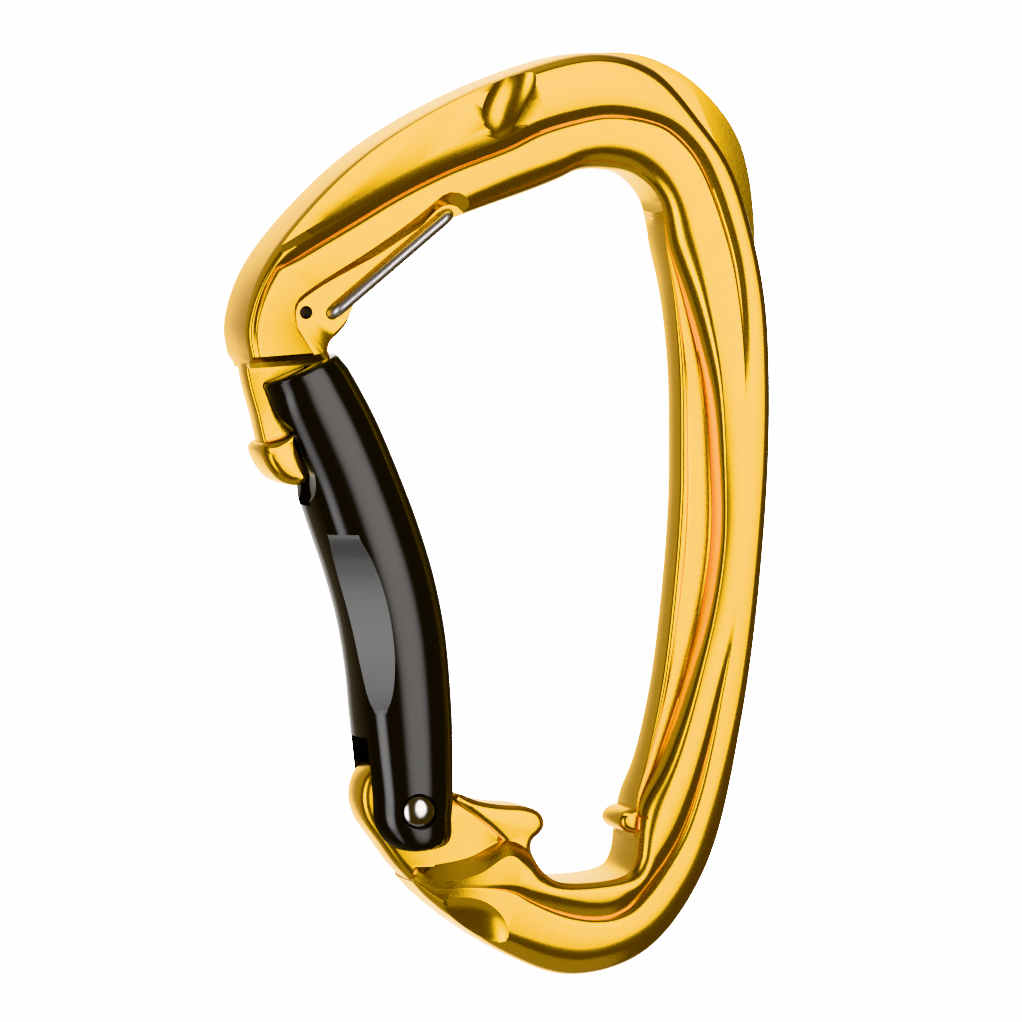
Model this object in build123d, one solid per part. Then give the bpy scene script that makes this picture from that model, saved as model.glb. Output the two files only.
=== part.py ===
# Bent-gate sport carabiner with a prop wire at its nose.
# It hangs from its wide rope basket: +Z up along the long axis, +X from the gate to the spine,
# Y through the thickness, with the front face towards -Y.
# The origin is the seat of the rope basket, on the middle plane.  Millimetres.
import os

from build123d import *

os.makedirs("parts", exist_ok=True)

# Overall sizes
FRAME_LONG = 100.15       # top to bottom
FRAME_WIDE = 60.3         # nose to spine
FRAME_THICK = 10.0        # over the two broad faces
WEB_THICK = 5.2           # middle flange, tang and horn
FIN_THICK = 2.4           # thin fin outside the rope basket
FACE_STEP = 0.7           # broad face outside the crescents is lower by this
ARM_POCKET_DEPTH = 1.9    # stamped pocket along the outside of the top arm
SPINE_GROOVE_WEB = 2.0    # metal left between the two spine grooves

# Nose and gate
TONGUE_THICK = 3.2        # nose tongue, inside the gate's nose slot
TONGUE_CLEAR = 0.30       # each side of the tongue
HEAD_THICK = 6.6          # block at the end of the tongue
GATE_THICK = 9.8          # gate, through the thickness
GATE_BEVEL = 1.9          # how far the rounded edges reach into that
CHEEK_CLEAR = 0.15        # each side of the tang between the gate's cheeks

# Rivet
PIVOT_X = -23.1
PIVOT_Z = -68.4
RIVET_DIA = 3.0
RIVET_RUN_CLEAR = 0.05    # radial, in the tang
RIVET_SEAT_CLEAR = 0.02   # radial, in the gate's cheeks
RIVET_HEAD_DIA = 3.8
RIVET_HEAD_HIGH = 0.75
RIVET_HEAD_CLEAR = 0.10   # radial, head in its spot face
RIVET_HEAD_EDGE = 0.35    # bevel that rounds the head
SPOTFACE_DEPTH = 0.55     # counterbore in each cheek for the rivet head

# Gate spring and plunger
BORE_DIA = 3.3
BORE_SIDE = 1.3           # bore axis beyond the rivet axis, towards the spine
SLOT_TOP = 7.9            # roof of the tang slot above the rivet axis
BORE_TOP = 19.4           # blind end of the bore above the rivet axis
PLUNGER_CLEAR = 0.10      # radial, plunger in bore
PLUNGER_GAP = 0.20        # plunger tip above the tang's flat, gate shut
PLUNGER_LONG = 8.0
TANG_TOP = 3.85           # flat top of the tang above the rivet axis
SPRING_WIRE = 0.45
SPRING_TURNS = 6

# Prop wire
WIRE_DIA = 1.3
WIRE_FLOOR_CLEAR = 0.12   # wire leg above the pocket floor
WIRE_HOLE_CLEAR = 0.06    # radial, wire end in its hole
WIRE_PIVOT = (-32.3, -15.1)
WIRE_TIP = (-19.35, -4.7)
SECOND_HOLE = (-35.2, -15.0)
NOSE_POCKET_DEPTH = 1.75
WIRE_BEND = 0.72          # inside each bend, to the wire's centre
WIRE_END_DEEP = 2.4       # how far each wire end goes into its hole

HALF = FRAME_THICK / 2
WEB = WEB_THICK / 2
LONG = FRAME_LONG / 100.15   # every height in the outlines below is for a frame 100.15 long
WIDE = FRAME_WIDE / 60.3     # and every width for one 60.3 wide


def at(points, y):
    """Points (x, z) put on the plane at depth y."""
    return [(p[0] * WIDE, y, p[1] * LONG) for p in points]


def region(runs, y):
    """A flat face at depth y, from runs of (x, z) points: two points make a line, more a curve."""
    edges = []
    for run in runs:
        if len(run) == 2:
            edges.append(Line(*at(run, y)))
        else:
            edges.append(Spline(*at(run, y)))
    return Face(Wire(edges))


def slab(runs, low, high):
    """The region drawn by the runs, solid from depth low to depth high."""
    return extrude(region(runs, low), amount=high - low, dir=(0, 1, 0))


def bevel(runs_in, y_in, runs_out, y_out):
    """A straight-walled bevel between two regions with the same number of runs."""
    return Solid.make_loft([region(runs_in, y_in).outer_wire(), region(runs_out, y_out).outer_wire()], True)


def closed(points):
    """Straight-sided closed runs through the points."""
    return [(points[i], points[(i + 1) % len(points)]) for i in range(len(points))]


def both(solid):
    """A front solid and its mirror image behind the middle plane."""
    return [solid, mirror(solid, about=Plane.XZ)]


def across(x, z, radius, deep):
    """A round bar through the thickness at (x, z), reaching deep to each side of the middle plane."""
    return extrude(Plane.XZ.offset(deep) * Pos(x * WIDE, z * LONG) * Circle(radius), -2 * deep)


# ---- frame: one forged and anodised bar, closed but for the gate's gap ----
outer_mid = [
    [(-42.0, -20.2), (-42.7, -16.2), (-40.9, -10.6), (-35.2, -3.6), (-27.0, 3.0), (-14.6, 9.4), (-2.7, 12.5)],
    [(-2.7, 12.5), (4.0, 10.9), (9.7, 5.1), (13.0, 0.4), (15.3, -5.8), (17.0, -13.5), (17.6, -22.0)],
    [(17.6, -22.0), (17.2, -36.6), (14.6, -59.5), (10.5, -76.9), (3.8, -85.2), (-4.7, -87.4)],
    [(-4.7, -87.4), (-12.4, -84.7), (-21.4, -78.3), (-28.2, -69.7)],
    [(-28.2, -69.7), (-42.0, -20.2)],
]
outer_face = [
    [(-41.4, -20.6), (-41.7, -16.5), (-39.9, -11.2), (-34.5, -4.8), (-26.4, 1.9), (-14.2, 8.2), (-2.7, 11.4)],
    [(-2.7, 11.4), (3.1, 9.8), (8.8, 4.2), (11.9, 0.0), (14.1, -6.0), (15.7, -13.5), (16.4, -22.0)],
    [(16.4, -22.0), (16.0, -36.6), (13.2, -59.0), (9.0, -74.0), (3.0, -81.8), (-4.7, -84.1)],
    [(-4.7, -84.1), (-11.8, -82.1), (-20.9, -76.3), (-27.0, -69.0)],
    [(-27.0, -69.0), (-41.4, -20.6)],
]
horn_and_tang = [
    [(-9.2, -72.9), (-8.0, -71.7), (-7.7, -70.4), (-9.0, -69.1)],
    [(-9.0, -69.1), (-17.3, -67.0)],
    [(-17.3, -67.0), (-18.5, PIVOT_Z + TANG_TOP)],
    [(-18.5, PIVOT_Z + TANG_TOP), (-18.5, -60.0)],
]
window_mid = [
    [(-30.1, -19.6), (-30.5, -16.6), (-29.6, -14.6)],
    [(-29.6, -14.6), (-29.2, -12.7)],
    [(-29.2, -12.7), (-20.9, -6.0)],
    [(-20.9, -6.0), (-20.7, -4.2), (-18.5, -3.0)],
    [(-18.5, -3.0), (-16.5, -4.6)],
    [(-16.5, -4.6), (-9.2, -2.1), (-4.4, -0.2), (-1.2, 0.2), (2.4, -0.9), (4.6, -3.6), (5.8, -8.8)],
    [(5.8, -8.8), (7.1, -14.0), (7.9, -25.0), (7.8, -36.7), (7.0, -46.6), (5.7, -56.4), (3.8, -64.5), (2.0, -69.0)],
    [(2.0, -69.0), (1.4, -70.6)],
    [(1.4, -70.6), (1.5, -74.5)],
    [(1.5, -74.5), (0.9, -75.9), (-0.5, -76.5)],
    [(-0.5, -76.5), (-7.3, -76.5)],
    [(-7.3, -76.5), (-8.8, -74.6), (-9.2, -72.9)],
] + horn_and_tang + [[(-18.5, -60.0), (-30.1, -19.6)]]
window_face = [
    [(-32.8, -19.6), (-31.9, -17.0), (-31.0, -15.2)],
    [(-31.0, -15.2), (-30.6, -9.6)],
    [(-30.6, -9.6), (-20.7, -2.9)],
    [(-20.7, -2.9), (-20.0, -2.4), (-19.3, -2.0)],
    [(-19.3, -2.0), (-18.2, -2.4)],
    [(-18.2, -2.4), (-11.6, 0.1), (-5.6, 2.0), (-1.4, 2.9), (4.0, 1.3), (7.2, -3.1), (9.0, -9.2)],
    [(9.0, -9.2), (10.2, -14.5), (11.8, -25.0), (12.1, -37.0), (11.2, -46.7), (9.3, -55.5), (6.6, -64.3), (4.6, -69.5)],
    [(4.6, -69.5), (4.0, -71.2)],
    [(4.0, -71.2), (3.2, -75.6)],
    [(3.2, -75.6), (2.3, -77.3), (0.6, -77.9)],
    [(0.6, -77.9), (-7.2, -77.9)],
    [(-7.2, -77.9), (-10.0, -76.4), (-11.4, -73.9)],
    [(-11.4, -73.9), (-8.4, -71.5), (-8.2, -70.4), (-9.4, -69.3)],
    [(-9.4, -69.3), (-17.3, -67.0)],
] + horn_and_tang[2:] + [[(-18.5, -60.0), (-32.8, -19.6)]]

frame = slab(outer_mid, -WEB, WEB)
for part in both(bevel(outer_mid, -WEB, outer_face, -HALF)):
    frame = frame + part
window = slab(window_mid, -WEB, WEB)
for part in both(bevel(window_mid, -WEB, window_face, -HALF)):
    window = window + part
frame = frame - window
over = 1.0

# The gate's gap, from the nose's slanted shoulder down to the tang
gap = closed([(-46.0, -21.6), (-29.0, -16.9), (-28.0, -19.0), (-18.4, -60.0), (-18.4, PIVOT_Z + TANG_TOP),
              (-26.6, PIVOT_Z + TANG_TOP), (-27.8, -65.3), (-28.4, -66.8), (-28.5, -70.2), (-34.0, -66.0)])
frame = frame - slab(gap, -HALF - over, HALF + over)

# Rounded tang end, and the platform milled round the rivet on each face
frame = frame + across(PIVOT_X - 1.6, PIVOT_Z + 0.2, 4.4, WEB)
frame = frame - slab(closed([(-23.8, -60.0), (-23.8, PIVOT_Z + TANG_TOP), (-15.0, PIVOT_Z + TANG_TOP),
                             (-15.0, -60.0)]), -HALF, HALF)
platform = [
    [(-34.0, -60.0), (-34.0, -75.2)],
    [(-34.0, -75.2), (-23.6, -75.2)],
    [(-23.6, -75.2), (-19.7, -75.6), (-16.2, -74.9), (-12.4, -72.4)],
    [(-12.4, -72.4), (-6.0, -71.6)],
    [(-6.0, -71.6), (-6.0, -60.0)],
    [(-6.0, -60.0), (-34.0, -60.0)],
]
for part in both(slab(platform, -HALF - over, -WEB)):
    frame = frame - part

# Tongue and head of the nose, inside the gate's slot when it is shut
tongue = closed([(-42.0, -18.0), (-41.5, -21.5), (-39.4, -29.4), (-36.0, -29.0), (-35.0, -23.5), (-33.0, -18.0)])
frame = frame + slab(tongue, -TONGUE_THICK / 2, TONGUE_THICK / 2)
head = [
    [(-36.5, -28.5), (-39.7, -29.2)],
    [(-39.7, -29.2), (-39.0, -31.6), (-37.6, -33.1), (-35.9, -33.3)],
    [(-35.9, -33.3), (-35.2, -33.2)],
    [(-35.2, -33.2), (-35.0, -32.4), (-36.5, -28.5)],
]
frame = frame + slab(head, -HEAD_THICK / 2, HEAD_THICK / 2)

# Thin fin outside the rope basket
fin = [
    [(-4.0, 12.2), (3.9, 12.2), (9.1, 9.9), (13.5, 5.8), (15.9, 1.2), (16.8, -5.0), (17.1, -14.0)],
    [(17.1, -14.0), (12.0, -4.0)],
    [(12.0, -4.0), (2.0, 9.0)],
    [(2.0, 9.0), (-4.0, 12.2)],
]
frame = frame + slab(fin, -FIN_THICK / 2, FIN_THICK / 2)

# Pocket along the outside of the top arm, ending in a scoop
arm_pocket = [
    [(-44.0, -11.0), (-40.6, -9.4)],
    [(-40.6, -9.4), (-36.4, -7.2), (-25.2, -0.9), (-14.6, 4.2)],
    [(-14.6, 4.2), (-11.6, 4.4), (-9.6, 6.6), (-10.4, 11.4)],
    [(-10.4, 11.4), (-14.0, 16.0)],
    [(-14.0, 16.0), (-44.0, 0.0)],
    [(-44.0, 0.0), (-44.0, -11.0)],
]
for part in both(slab(arm_pocket, -HALF - over, -HALF + ARM_POCKET_DEPTH)):
    frame = frame - part

# Broad face outside the two basket crescents
top_step = [
    [(-10.5, 5.0), (-5.0, 6.2), (-0.4, 6.9), (3.5, 6.0), (7.0, 3.6), (9.9, -0.6), (12.2, -7.6), (13.8, -18.0)],
    [(13.8, -18.0), (20.0, -19.0)],
    [(20.0, -19.0), (20.0, 16.0)],
    [(20.0, 16.0), (-10.5, 16.0)],
    [(-10.5, 16.0), (-10.5, 5.0)],
]
low_step = [
    [(11.6, -55.7), (10.0, -65.0), (7.9, -71.5), (5.0, -76.8), (2.6, -79.4), (-0.3, -80.9), (-4.0, -81.2), (-9.5, -79.6)],
    [(-9.5, -79.6), (-12.0, -90.0)],
    [(-12.0, -90.0), (20.0, -90.0)],
    [(20.0, -90.0), (20.0, -55.0)],
    [(20.0, -55.0), (11.6, -55.7)],
]
for runs in (top_step, low_step):
    for part in both(slab(runs, -HALF - over, -HALF + FACE_STEP)):
        frame = frame - part

# Scoop under the tang
low_scoop = [
    [(-25.0, -77.2), (-19.6, -77.2)],
    [(-19.6, -77.2), (-16.0, -77.5), (-13.4, -79.0), (-12.4, -81.4), (-13.6, -85.5)],
    [(-13.6, -85.5), (-25.0, -85.0)],
    [(-25.0, -85.0), (-25.0, -77.2)],
]
for part in both(slab(low_scoop, -HALF - over, -HALF + ARM_POCKET_DEPTH)):
    frame = frame - part

# Lightening groove along each side of the spine
groove = [
    [(7.5, -8.5), (8.6, -16.0), (9.0, -25.0), (8.9, -36.7), (8.1, -46.6), (6.7, -56.4), (4.6, -64.0), (3.0, -67.4)],
    [(3.0, -67.4), (4.6, -68.4)],
    [(4.6, -68.4), (6.6, -63.4), (9.0, -55.2), (10.7, -46.6), (11.5, -36.8), (11.2, -25.0), (9.8, -16.0), (8.3, -8.5)],
    [(8.3, -8.5), (7.5, -8.5)],
]
for part in both(slab(groove, -HALF - over, -SPINE_GROOVE_WEB / 2)):
    frame = frame - part

# Pocket and two cross holes for the prop wire's ends
nose_pocket = closed([(-36.7, -15.0), (-36.2, -13.3), (-30.6, -9.7), (-20.0, -2.6), (-16.0, -7.0), (-25.0, -20.0),
                      (-31.2, -17.9), (-34.6, -16.8)])
for part in both(slab(nose_pocket, -HALF - over, -HALF + NOSE_POCKET_DEPTH)):
    frame = frame - part
for spot in (WIRE_PIVOT, SECOND_HOLE):
    frame = frame - across(spot[0], spot[1], WIRE_DIA / 2 + WIRE_HOLE_CLEAR, HALF + over)

# Rivet hole through the tang
frame = frame - across(PIVOT_X, PIVOT_Z, RIVET_DIA / 2 + RIVET_RUN_CLEAR, HALF)

# ---- gate: one bent bar, slotted at the nose and at the tang ----
gate_left = [(-39.9, -22.8), (-37.3, -29.0), (-35.2, -33.6), (-33.4, -38.8), (-31.1, -45.3), (-29.7, -52.0),
             (-29.1, -58.5), (-28.1, -66.0), (-28.1, -69.0)]
gate_right = [(-18.2, -69.5), (-18.1, -60.0), (-18.5, -52.0), (-20.4, -42.2), (-23.9, -32.5), (-28.0, -24.0),
              (-30.2, -19.9)]
gate_runs = [
    gate_left,
    [(-28.1, -69.0), (-27.2, -71.2), (-25.0, -72.7)],
    [(-25.0, -72.7), (-20.8, -72.7)],
    [(-20.8, -72.7), (-18.9, -71.5), (-18.2, -69.5)],
    gate_right,
    [(-30.2, -19.9), (-31.2, -19.2), (-32.6, -19.7)],
    [(-32.6, -19.7), (-39.9, -22.8)],
]
gate_face = [
    [(-37.9, -22.0), (-35.4, -28.2), (-33.4, -33.0), (-31.6, -38.2), (-29.3, -45.0), (-27.9, -52.0),
     (-27.3, -58.5), (-26.4, -66.0), (-26.4, -68.7)],
    [(-26.4, -68.7), (-25.8, -70.4), (-24.3, -71.4)],
    [(-24.3, -71.4), (-21.6, -71.4)],
    [(-21.6, -71.4), (-20.4, -70.5), (-19.9, -69.2)],
    [(-19.9, -69.2), (-19.9, -60.0), (-20.3, -52.2), (-22.1, -42.7), (-25.5, -33.3), (-29.5, -24.8),
     (-31.6, -20.8)],
    [(-31.6, -20.8), (-32.2, -20.3), (-33.2, -20.4)],
    [(-33.2, -20.4), (-37.9, -22.0)],
]
gate = slab(gate_runs, -GATE_THICK / 2 + GATE_BEVEL, GATE_THICK / 2 - GATE_BEVEL)
for part in both(bevel(gate_runs, -GATE_THICK / 2 + GATE_BEVEL, gate_face, -GATE_THICK / 2)):
    gate = gate + part

# Nose slot: the tongue passes in its middle, and a wider relief clears the head
slot_half = TONGUE_THICK / 2 + TONGUE_CLEAR
nose_slot = closed([(-45.0, -15.0), (-32.4, -15.0), (-34.2, -23.5), (-34.0, -28.0), (-33.6, -35.6), (-45.0, -35.6)])
gate = gate - slab(nose_slot, -slot_half, slot_half)
head_relief = [
    [(-45.0, -24.0), (-38.9, -24.0)],
    [(-38.9, -24.0), (-36.4, -27.4), (-34.4, -31.8), (-34.2, -34.6)],
    [(-34.2, -34.6), (-34.7, -35.6), (-36.0, -35.8)],
    [(-36.0, -35.8), (-45.0, -35.8)],
    [(-45.0, -35.8), (-45.0, -24.0)],
]
gate = gate - slab(head_relief, -GATE_THICK, GATE_THICK)

# Tang slot, spring bore, rivet holes and spot faces
cheek = WEB + CHEEK_CLEAR
tang_slot = closed([(-40.0, PIVOT_Z + SLOT_TOP), (-10.0, PIVOT_Z + SLOT_TOP), (-10.0, -80.0), (-40.0, -80.0)])
gate = gate - slab(tang_slot, -cheek, cheek)
bore_x = PIVOT_X * WIDE + BORE_SIDE
bore_low = (PIVOT_Z + SLOT_TOP) * LONG - 0.5
bore_high = (PIVOT_Z + BORE_TOP) * LONG
gate = gate - extrude(Plane.XY.offset(bore_low) * Pos(bore_x, 0) * Circle(BORE_DIA / 2), bore_high - bore_low)
gate = gate - across(PIVOT_X, PIVOT_Z, RIVET_DIA / 2 + RIVET_SEAT_CLEAR, GATE_THICK)
head_low = GATE_THICK / 2 - SPOTFACE_DEPTH
spot_face = Plane.XZ.offset(head_low) * Pos(PIVOT_X * WIDE, PIVOT_Z * LONG)
for part in both(extrude(spot_face * Circle(RIVET_HEAD_DIA / 2 + RIVET_HEAD_CLEAR), 3)):
    gate = gate - part

# Flat that the finger pushes, milled across the outside of each cheek
finger = [
    [(-31.4, -37.6), (-28.9, -41.3), (-26.8, -46.7), (-26.0, -53.0), (-25.8, -60.0)],
    [(-25.8, -60.0), (-40.0, -60.0)],
    [(-40.0, -60.0), (-40.0, -37.6)],
    [(-40.0, -37.6), (-31.4, -37.6)],
]
for part in both(slab(finger, -GATE_THICK, -GATE_THICK / 2 + 0.9)):
    gate = gate - part

# ---- gate rivet: steel shank with two domed heads, formed against the cheeks ----
rivet = across(PIVOT_X, PIVOT_Z, RIVET_DIA / 2, head_low)
rivet_head = extrude(spot_face * Circle(RIVET_HEAD_DIA / 2), RIVET_HEAD_HIGH)
rim = rivet_head.edges().filter_by(lambda e: abs(e.center().Y + head_low + RIVET_HEAD_HIGH) < 0.01)
for part in both(chamfer(rim, RIVET_HEAD_EDGE)):
    rivet = rivet + part

# ---- gate plunger: pin in the gate's bore that presses on the tang beside the rivet ----
plunger_r = BORE_DIA / 2 - PLUNGER_CLEAR
tip_z = (PIVOT_Z + TANG_TOP) * LONG + PLUNGER_GAP
plunger = Pos(bore_x, 0, tip_z + 1.0 + (PLUNGER_LONG - 1.0) / 2) * Cylinder(plunger_r, PLUNGER_LONG - 1.0)
plunger = plunger + Pos(bore_x, 0, tip_z + 0.5) * Cone(plunger_r * 0.6, plunger_r, 1.0)

# ---- gate spring: compression spring between the plunger and the bore's blind end ----
spring_low = tip_z + PLUNGER_LONG + SPRING_WIRE / 2 + 0.02
spring_high = bore_high - SPRING_WIRE / 2 - 0.02
spring_r = BORE_DIA / 2 - SPRING_WIRE / 2 - 0.12
path = Pos(bore_x, 0, spring_low) * Helix((spring_high - spring_low) / SPRING_TURNS, spring_high - spring_low, spring_r)
spring = sweep(Plane(path @ 0, z_dir=path % 0) * Circle(SPRING_WIRE / 2), path=path)

# ---- prop wire: steel wire bent to a U, its two ends in the nose's cross hole ----
leg_y = HALF - NOSE_POCKET_DEPTH + WIRE_FLOOR_CLEAR + WIRE_DIA / 2
end_y = HALF - NOSE_POCKET_DEPTH - WIRE_END_DEEP
px, pz = WIRE_PIVOT[0] * WIDE, WIRE_PIVOT[1] * LONG
tx, tz = WIRE_TIP[0] * WIDE, WIRE_TIP[1] * LONG
wire_path = Wire(FilletPolyline(
    (px, -end_y, pz), (px, -leg_y, pz), (tx, -leg_y, tz), (tx, leg_y, tz), (px, leg_y, pz), (px, end_y, pz),
    radius=WIRE_BEND).edges())
wire = sweep(Plane((px, -end_y, pz), z_dir=(0, -1, 0)) * Circle(WIRE_DIA / 2), path=wire_path)

pieces = {"frame": frame, "gate": gate, "gate_rivet": rivet, "gate_plunger": plunger, "gate_spring": spring,
          "prop_wire": wire}
for name, shape in pieces.items():
    export_step(shape, "parts/" + name + ".step")
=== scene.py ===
# A forged carabiner with a bent gate and a prop wire, in metres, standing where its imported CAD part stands.
import math

import bmesh
import bpy
import numpy as np
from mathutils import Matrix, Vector


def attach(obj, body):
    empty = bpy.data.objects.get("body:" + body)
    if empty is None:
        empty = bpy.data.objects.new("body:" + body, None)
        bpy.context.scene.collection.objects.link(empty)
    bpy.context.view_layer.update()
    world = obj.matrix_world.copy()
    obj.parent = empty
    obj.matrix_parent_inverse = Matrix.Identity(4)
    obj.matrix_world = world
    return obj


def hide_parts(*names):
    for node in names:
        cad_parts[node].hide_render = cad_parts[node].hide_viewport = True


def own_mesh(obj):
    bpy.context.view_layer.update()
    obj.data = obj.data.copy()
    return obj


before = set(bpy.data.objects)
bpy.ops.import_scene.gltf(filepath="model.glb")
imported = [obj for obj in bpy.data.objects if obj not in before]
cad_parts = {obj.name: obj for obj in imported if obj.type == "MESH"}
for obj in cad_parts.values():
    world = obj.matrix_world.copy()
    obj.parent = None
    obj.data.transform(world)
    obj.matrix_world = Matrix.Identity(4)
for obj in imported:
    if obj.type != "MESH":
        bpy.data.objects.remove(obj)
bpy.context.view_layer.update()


# ---- Frame ----
# One hot-forged aluminium bar bent to an open C, polished in a drum and dyed gold by anodising. The gate's
# rivet and the prop wire are the only things fixed to it.

# The front half is built in millimetres, cut and filled as the dies do, then mirrored into the back half.
# Stations along the bar: x, z, then the half thickness of the outer wall, of the outer face and of the inner
# face, the crease's depth from above and from below, the half thickness of the inner wall, the share of the
# inner side that is a flat lip, how far the inner face sinks towards the window, and how flat its side is.
stations = [
    (-37.3, -19.4, 3.9, 4.5, 4.5, 0.00, 0.00, 2.3, 0.00, 1.20, 0.0),
    (-37.9, -16.0, 3.7, 4.6, 4.6, 0.10, 0.00, 2.3, 0.00, 1.20, 0.0),
    (-36.0, -10.4, 3.2, 5.0, 4.6, 0.55, 0.00, 2.6, 0.00, 0.45, 0.0),
    (-30.0, -4.8, 2.6, 5.0, 4.6, 0.60, 0.00, 2.6, 0.00, 0.00, 0.0),
    (-22.0, 0.2, 2.6, 5.0, 4.6, 0.60, 0.00, 2.6, 0.00, 0.00, 0.0),
    (-13.0, 3.6, 2.4, 5.0, 4.6, 0.60, 0.00, 1.6, 0.00, 0.00, 0.0),
    (-4.0, 6.7, 2.0, 5.0, 4.7, 0.55, 0.00, 1.2, 0.00, 0.00, 0.0),
    (2.6, 5.4, 2.0, 5.0, 4.7, 0.45, 0.00, 1.6, 0.00, 0.00, 0.0),
    (7.5, 1.0, 2.0, 5.0, 4.7, 0.40, 0.00, 3.0, 0.00, 0.00, 0.0),
    (9.9, -3.8, 2.2, 5.0, 4.8, 0.35, 0.00, 2.9, 0.00, 0.00, 0.0),
    (11.3, -9.0, 2.5, 5.0, 4.8, 0.32, 0.00, 2.4, 0.15, 0.00, 0.0),
    (12.4, -15.0, 2.8, 5.0, 4.9, 0.24, 0.00, 2.1, 0.45, 0.00, 0.0),
    (13.0, -25.0, 3.2, 5.0, 5.0, 0.00, 0.00, 2.0, 0.76, 0.00, 0.0),
    (12.7, -37.0, 3.2, 5.0, 5.0, 0.00, 0.00, 2.0, 0.86, 0.00, 0.0),
    (11.5, -49.0, 3.2, 5.0, 5.0, 0.00, 0.00, 2.0, 0.82, 0.00, 0.0),
    (9.7, -59.0, 3.0, 4.9, 5.0, 0.00, 0.28, 2.0, 0.64, 0.00, 0.0),
    (7.8, -67.0, 2.6, 4.8, 5.0, 0.00, 0.55, 2.1, 0.36, 0.00, 0.0),
    (6.4, -71.5, 2.2, 4.7, 5.0, 0.00, 0.70, 3.2, 0.00, 0.00, 0.0),
    (1.6, -79.2, 1.2, 4.7, 5.0, 0.00, 0.85, 4.0, 0.00, 0.00, 0.0),
    (-3.5, -81.3, 1.2, 4.7, 5.0, 0.00, 0.85, 4.0, 0.00, 0.00, 0.0),
    (-8.5, -80.4, 1.6, 4.7, 5.0, 0.00, 0.70, 3.4, 0.00, 0.00, 0.0),
    (-13.5, -78.6, 2.4, 4.7, 4.8, 0.00, 0.10, 2.5, 0.00, 0.00, 0.7),
    (-18.5, -77.4, 2.6, 4.5, 4.6, 0.00, 0.00, 2.5, 0.00, 0.00, 1.0),
    (-23.2, -75.9, 2.2, 3.0, 3.0, 0.00, 0.00, 2.4, 0.00, 0.00, 1.0),
]
outer_wall = [
    (-41.5, -20.4), (-42.1, -16.5), (-40.3, -10.7), (-34.8, -3.7), (-27.0, 2.9), (-14.6, 9.3),
    (-2.7, 12.5), (4.0, 10.9), (9.7, 5.1), (13.0, 0.4), (15.3, -5.8), (17.0, -13.5), (17.55, -22.0),
    (17.2, -36.6), (14.6, -59.5), (10.5, -76.6), (3.8, -85.2), (-4.7, -87.35), (-12.4, -84.6),
    (-21.4, -78.2), (-24.6, -74.6)
]
outer_edge = [
    (-41.1, -20.6), (-41.6, -16.5), (-39.8, -11.0), (-34.3, -4.3), (-26.6, 2.2), (-14.3, 8.5),
    (-2.7, 11.4), (3.2, 9.7), (8.8, 4.2), (11.9, -0.1), (14.1, -6.0), (15.8, -13.5), (16.4, -22.0),
    (16.1, -35.0), (13.4, -58.0), (9.6, -71.6), (7.0, -77.3), (2.8, -81.9), (-3.7, -84.0), (-11.8, -82.1),
    (-20.9, -77.5), (-24.0, -75.4)
]
crease = [
    (-40.9, -21.0), (-41.5, -16.5), (-41.3, -12.2), (-36.3, -9.1), (-30.7, -5.9), (-25.2, -2.8),
    (-19.6, -0.2), (-12.8, 2.3), (-9.6, 3.8), (-6.0, 4.9), (-1.4, 5.7), (3.2, 5.1), (5.5, 4.2),
    (7.9, 2.1), (9.3, 0.1), (10.7, -2.9), (11.8, -5.9), (12.8, -9.2), (13.5, -12.6), (14.1, -18.0),
    (14.4, -29.0), (14.1, -40.0), (12.9, -50.0), (11.4, -57.5), (10.2, -63.0), (8.8, -68.1), (7.0, -72.6),
    (4.3, -76.7), (2.7, -78.6), (1.0, -80.1), (-0.8, -80.8), (-2.8, -80.9), (-5.3, -80.5), (-7.8, -79.7),
    (-10.3, -78.6), (-12.5, -77.5), (-17.0, -76.9), (-20.9, -76.9), (-23.8, -75.9)
]
inner_edge = [
    (-33.7, -19.6), (-33.7, -18.6), (-33.1, -17.3), (-32.2, -16.2), (-31.4, -14.8), (-29.6, -12.1),
    (-21.4, -5.4), (-18.6, -2.9), (-15.4, -1.4), (-11.6, 0.1), (-7.1, 1.5), (-4.4, 2.5), (-1.4, 2.9),
    (2.2, 2.3), (5.0, 0.4), (7.2, -3.1), (8.8, -8.0), (10.2, -14.5), (11.5, -22.0), (12.1, -33.7),
    (12.0, -41.3), (11.0, -48.0), (9.3, -55.2), (7.1, -62.9), (4.7, -69.3), (3.7, -72.4), (3.0, -75.6),
    (1.8, -77.2), (-0.4, -77.8), (-6.6, -77.8), (-9.1, -77.0), (-10.7, -75.2), (-12.7, -73.6),
    (-16.2, -75.4), (-19.6, -76.1), (-23.3, -75.7)
]
inner_wall = [
    (-32.5, -19.6), (-32.5, -18.7), (-32.2, -18.0), (-31.4, -17.3), (-30.5, -16.2), (-29.9, -14.6),
    (-28.9, -12.4), (-20.8, -5.9), (-18.4, -5.1), (-15.6, -4.2), (-9.3, -2.2), (-6.3, -1.1), (-4.2, -0.2),
    (-1.2, 0.0), (2.1, -0.6), (4.9, -3.2), (6.0, -8.8), (7.0, -14.0), (7.75, -22.0), (7.9, -30.0),
    (7.8, -36.7), (7.0, -46.6), (5.7, -56.4), (4.0, -64.0), (2.6, -68.2), (2.3, -71.0), (2.2, -73.0),
    (2.0, -74.6), (1.3, -76.0), (-0.4, -76.7), (-7.0, -76.7), (-8.7, -75.4), (-10.2, -73.1),
    (-12.4, -72.0), (-16.6, -73.6), (-20.4, -74.2), (-23.8, -74.6)
]


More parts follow.
